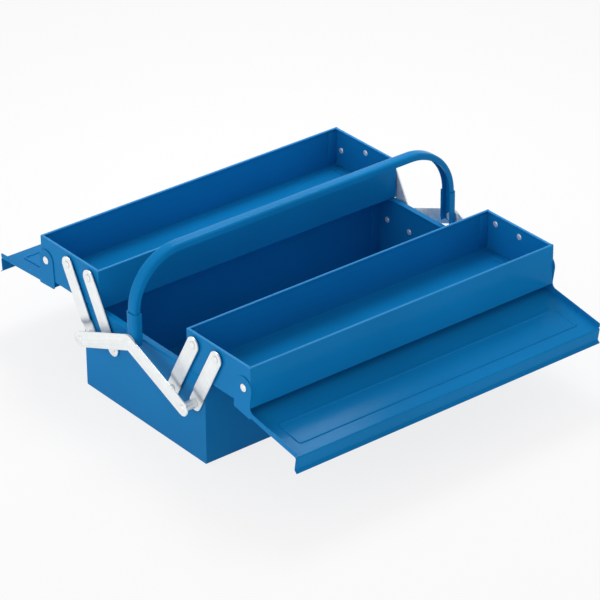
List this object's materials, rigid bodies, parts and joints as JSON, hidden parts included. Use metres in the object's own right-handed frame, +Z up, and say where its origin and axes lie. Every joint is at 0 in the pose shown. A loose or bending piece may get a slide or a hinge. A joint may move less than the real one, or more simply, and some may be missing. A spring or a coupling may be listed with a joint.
{
  "type": "cantilever tool box",
  "caption": "Folded steel tool box that opens sideways: trays with lids swing out on flat links over a base, under a hoop handle on bars.",
  "frame": {"origin": "middle of the base's underside, on the surface that the box stands on", "axes": "+X along the box towards its right end, +Y towards the rear tray, so the front tray is at -Y, +Z up"},
  "size_m": [0.4518, 0.5243, 0.203],
  "materials": {
    "blue_paint": "glossy blue stove enamel on steel sheet",
    "zinc_bars": "bright zinc plate on flat steel strip",
    "zinc_rivets": "bright zinc plate on rivets, washers and spacers"
  },
  "bodies": {
    "base": {"base_shell": "blue_paint", "base_end_left": "blue_paint", "base_end_right": "blue_paint", "front_handle_bar_left": "zinc_bars", "front_handle_bar_right": "zinc_bars", "rear_handle_bar_left": "zinc_bars", "rear_handle_bar_right": "zinc_bars", "handle_pivot_rivets": "zinc_rivets", "inner_base_pins": "zinc_rivets", "outer_base_pins": "zinc_rivets", "base_washers": "zinc_rivets", "bar_spacers": "zinc_rivets"},
    "handle": {"handle_hoop": "blue_paint", "handle_foot_left": "blue_paint", "handle_foot_right": "blue_paint"},
    "front_outer_link_left": {"front_outer_link_left": "zinc_bars"},
    "front_outer_link_right": {"front_outer_link_right": "zinc_bars"},
    "front_inner_link_left": {"front_inner_link_left": "zinc_bars"},
    "front_inner_link_right": {"front_inner_link_right": "zinc_bars"},
    "front_tray": {"front_tray_shell": "blue_paint", "front_tray_end_left": "blue_paint", "front_tray_end_right": "blue_paint", "front_tray_pins": "zinc_rivets", "front_tray_spacers": "zinc_rivets", "front_lid_rivets": "zinc_rivets"},
    "front_lid": {"front_lid": "blue_paint"},
    "rear_outer_link_left": {"rear_outer_link_left": "zinc_bars"},
    "rear_outer_link_right": {"rear_outer_link_right": "zinc_bars"},
    "rear_inner_link_left": {"rear_inner_link_left": "zinc_bars"},
    "rear_inner_link_right": {"rear_inner_link_right": "zinc_bars"},
    "rear_tray": {"rear_tray_shell": "blue_paint", "rear_tray_end_left": "blue_paint", "rear_tray_end_right": "blue_paint", "rear_tray_pins": "zinc_rivets", "rear_tray_spacers": "zinc_rivets", "rear_lid_rivets": "zinc_rivets"},
    "rear_lid": {"rear_lid": "blue_paint"}
  },
  "joints": [
    {"name": "handle_swing", "type": "hinge", "parent": "base", "child": "handle", "pos_m": [0, 0, 0.105], "axis": [1, 0, 0], "range_deg": [-28, 28]},
    {"name": "front_tray_swing", "type": "hinge", "parent": "base", "child": "front_outer_link_left", "pos_m": [-0.2066, -0.0916, 0.0685], "axis": [-1, 0, 0], "range_deg": [0, 58.09]},
    {"name": "front_outer_link_right_swing", "type": "hinge", "parent": "base", "child": "front_outer_link_right", "pos_m": [0.2066, -0.0916, 0.0685], "axis": [-1, 0, 0], "range_deg": [0, 58.09]},
    {"name": "front_inner_link_left_swing", "type": "hinge", "parent": "base", "child": "front_inner_link_left", "pos_m": [-0.2066, -0.0531, 0.0685], "axis": [-1, 0, 0], "range_deg": [0, 58.09]},
    {"name": "front_inner_link_right_swing", "type": "hinge", "parent": "base", "child": "front_inner_link_right", "pos_m": [0.2066, -0.0531, 0.0685], "axis": [-1, 0, 0], "range_deg": [0, 58.09]},
    {"name": "front_tray_level", "type": "hinge", "parent": "front_outer_link_left", "child": "front_tray", "pos_m": [-0.208, -0.1302, 0.138], "axis": [-1, 0, 0], "range_deg": [-58.09, 0]},
    {"name": "front_lid_hinge", "type": "hinge", "parent": "front_tray", "child": "front_lid", "pos_m": [0, -0.1737, 0.124], "axis": [-1, 0, 0], "range_deg": [0, 190.5]},
    {"name": "rear_tray_swing", "type": "hinge", "parent": "base", "child": "rear_outer_link_left", "pos_m": [-0.2066, 0.0916, 0.0685], "axis": [1, 0, 0], "range_deg": [0, 58.09]},
    {"name": "rear_outer_link_right_swing", "type": "hinge", "parent": "base", "child": "rear_outer_link_right", "pos_m": [0.2066, 0.0916, 0.0685], "axis": [1, 0, 0], "range_deg": [0, 58.09]},
    {"name": "rear_inner_link_left_swing", "type": "hinge", "parent": "base", "child": "rear_inner_link_left", "pos_m": [-0.2066, 0.0531, 0.0685], "axis": [1, 0, 0], "range_deg": [0, 58.09]},
    {"name": "rear_inner_link_right_swing", "type": "hinge", "parent": "base", "child": "rear_inner_link_right", "pos_m": [0.2066, 0.0531, 0.0685], "axis": [1, 0, 0], "range_deg": [0, 58.09]},
    {"name": "rear_tray_level", "type": "hinge", "parent": "rear_outer_link_left", "child": "rear_tray", "pos_m": [-0.208, 0.1302, 0.138], "axis": [1, 0, 0], "range_deg": [-58.09, 0]},
    {"name": "rear_lid_hinge", "type": "hinge", "parent": "rear_tray", "child": "rear_lid", "pos_m": [0, 0.1737, 0.124], "axis": [1, 0, 0], "range_deg": [0, 184.5]}
  ],
  "couplings": [
    {"joint": "front_outer_link_right_swing", "follows": "front_tray_swing", "ratio": 1},
    {"joint": "front_inner_link_left_swing", "follows": "front_tray_swing", "ratio": 1},
    {"joint": "front_inner_link_right_swing", "follows": "front_tray_swing", "ratio": 1},
    {"joint": "front_tray_level", "follows": "front_tray_swing", "ratio": -1},
    {"joint": "rear_outer_link_right_swing", "follows": "rear_tray_swing", "ratio": 1},
    {"joint": "rear_inner_link_left_swing", "follows": "rear_tray_swing", "ratio": 1},
    {"joint": "rear_inner_link_right_swing", "follows": "rear_tray_swing", "ratio": 1},
    {"joint": "rear_tray_level", "follows": "rear_tray_swing", "ratio": -1}
  ]
}
